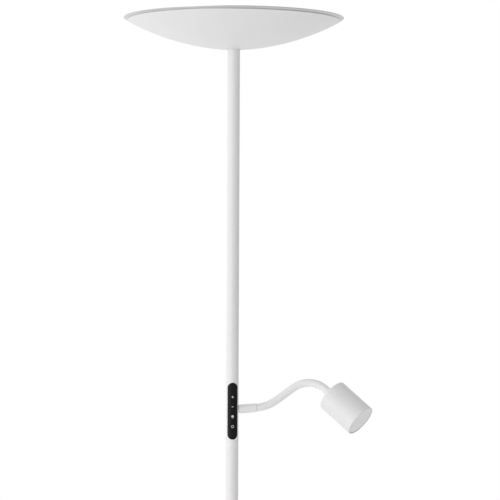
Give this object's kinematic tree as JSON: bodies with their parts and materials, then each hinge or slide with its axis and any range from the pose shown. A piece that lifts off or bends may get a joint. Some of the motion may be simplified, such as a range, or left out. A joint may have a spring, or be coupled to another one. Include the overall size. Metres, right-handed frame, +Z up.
{
  "type": "torchiere floor lamp with reading light",
  "caption": "Free-standing uplight with a shallow dish on a slim pole, a touch panel in the pole and a small reading head on a flexible arm.",
  "frame": {"origin": "centre of the base's underside, on the floor", "axes": "+Z up along the pole, -Y towards the front of the touch panel, +X the way the reading arm leaves the pole"},
  "size_m": [0.3764, 0.3346, 1.7999],
  "materials": {
    "foam": "closed-cell foam, matt black",
    "iron": "as cast, painted dark",
    "white_coat": "satin white powder coat",
    "bush_rubber": "moulded, white",
    "zinc_steel": "zinc plated, satin",
    "brass": "turned",
    "cable_jacket": "white PVC",
    "black_lens": "gloss black",
    "symbol_ink": "printed light grey",
    "circuit_board": "solder resist",
    "cradle_plastic": "moulded, black",
    "collar_coat": "satin white powder coat",
    "sleeve_white": "smooth white sleeve over the wound core",
    "head_coat": "satin white powder coat",
    "raw_aluminium": "turned",
    "white_board": "white solder resist",
    "led_phosphor": "LED phosphor",
    "reflector_white": "moulded white",
    "frosted_lens": "frosted",
    "rim_grey": "satin light grey",
    "opal": "opal acrylic",
    "case_plastic": "moulded, black"
  },
  "bodies": {
    "stand": {"arm_collar": "collar_coat", "arm_nut": "brass", "arm_saddle": "zinc_steel", "arm_stud": "zinc_steel", "base_cover": "white_coat", "base_nut": "zinc_steel", "base_pad": "foam", "base_stem": "zinc_steel", "base_washer": "zinc_steel", "base_weight": "iron", "board_screws": "zinc_steel", "cable_inlet": "bush_rubber", "dish_bowl": "white_coat", "dish_diffuser": "opal", "dish_nut": "zinc_steel", "dish_rim": "rim_grey", "dish_standoffs": "brass", "dish_stud": "zinc_steel", "dish_washer": "zinc_steel", "driver_board": "circuit_board", "driver_case": "case_plastic", "driver_components": "case_plastic", "lamp_symbol": "symbol_ink", "led_board": "white_board", "led_plate": "raw_aluminium", "minus_symbol": "symbol_ink", "panel_carrier": "cradle_plastic", "plus_symbol": "symbol_ink", "pole_cable": "cable_jacket", "pole_foot": "white_coat", "pole_inserts": "brass", "pole_section_bottom": "white_coat", "pole_section_control": "white_coat", "pole_section_lower": "white_coat", "pole_section_top": "white_coat", "pole_studs": "zinc_steel", "ring_symbol": "symbol_ink", "touch_board": "circuit_board", "touch_panel": "black_lens", "uplight_leds": "led_phosphor"},
    "link_01": {"arm_link_01": "sleeve_white"},
    "link_02": {"arm_link_02": "sleeve_white"},
    "link_03": {"arm_link_03": "sleeve_white"},
    "link_04": {"arm_link_04": "sleeve_white"},
    "link_05": {"arm_link_05": "sleeve_white"},
    "link_06": {"arm_link_06": "sleeve_white"},
    "link_07": {"arm_link_07": "sleeve_white"},
    "link_08": {"arm_link_08": "sleeve_white"},
    "link_09": {"arm_link_09": "sleeve_white"},
    "link_10": {"arm_link_10": "sleeve_white"},
    "link_11": {"arm_link_11": "sleeve_white"},
    "reading_head": {"arm_end": "sleeve_white", "head_heat_sink": "raw_aluminium", "head_housing": "head_coat", "head_led": "led_phosphor", "head_led_board": "white_board", "head_lens": "frosted_lens", "head_nut": "zinc_steel", "head_reflector": "reflector_white", "head_screws": "zinc_steel"}
  },
  "joints": [
    {"name": "arm_lift_1", "type": "hinge", "parent": "stand", "child": "link_01", "pos_m": [0.03769, 0, 1.2068], "axis": [0, -1, 0], "range_deg": [-15, 15]},
    {"name": "arm_swing_1", "type": "hinge", "parent": "link_01", "child": "link_02", "pos_m": [0.04847, 0, 1.20873], "axis": [-0.2698, 0, 0.9629], "range_deg": [-15, 15]},
    {"name": "arm_lift_2", "type": "hinge", "parent": "link_02", "child": "link_03", "pos_m": [0.05868, 0, 1.21268], "axis": [0, -1, 0], "range_deg": [-15, 15]},
    {"name": "arm_swing_2", "type": "hinge", "parent": "link_03", "child": "link_04", "pos_m": [0.06794, 0, 1.21852], "axis": [-0.5659, 0, 0.8245], "range_deg": [-15, 15]},
    {"name": "arm_lift_3", "type": "hinge", "parent": "link_04", "child": "link_05", "pos_m": [0.07672, 0, 1.22507], "axis": [-0.0317, -0.9995, 0], "range_deg": [-15, 15]},
    {"name": "arm_swing_3", "type": "hinge", "parent": "link_05", "child": "link_06", "pos_m": [0.08548, -0.00056, 1.23161], "axis": [-0.595, 0.0589, 0.8016], "range_deg": [-15, 15]},
    {"name": "arm_lift_4", "type": "hinge", "parent": "link_06", "child": "link_07", "pos_m": [0.09418, -0.00173, 1.23815], "axis": [-0.17, -0.9854, 0], "range_deg": [-15, 15]},
    {"name": "arm_swing_4", "type": "hinge", "parent": "link_07", "child": "link_08", "pos_m": [0.10372, -0.0037, 1.24316], "axis": [-0.3243, 0.0798, 0.9426], "range_deg": [-15, 15]},
    {"name": "arm_lift_5", "type": "hinge", "parent": "link_08", "child": "link_09", "pos_m": [0.11404, -0.00661, 1.2454], "axis": [-0.3053, -0.9523, 0], "range_deg": [-15, 15]},
    {"name": "arm_swing_5", "type": "hinge", "parent": "link_09", "child": "link_10", "pos_m": [0.12432, -0.01031, 1.24472], "axis": [0.1808, -0.0721, 0.9809], "range_deg": [-15, 15]},
    {"name": "arm_lift_6", "type": "hinge", "parent": "link_10", "child": "link_11", "pos_m": [0.1338, -0.01449, 1.24118], "axis": [-0.4335, -0.9011, 0], "range_deg": [-15, 15]},
    {"name": "arm_swing_6", "type": "hinge", "parent": "link_11", "child": "reading_head", "pos_m": [0.1418, -0.01872, 1.23501], "axis": [0.5019, -0.2994, 0.8114], "range_deg": [-15, 15]}
  ]
}
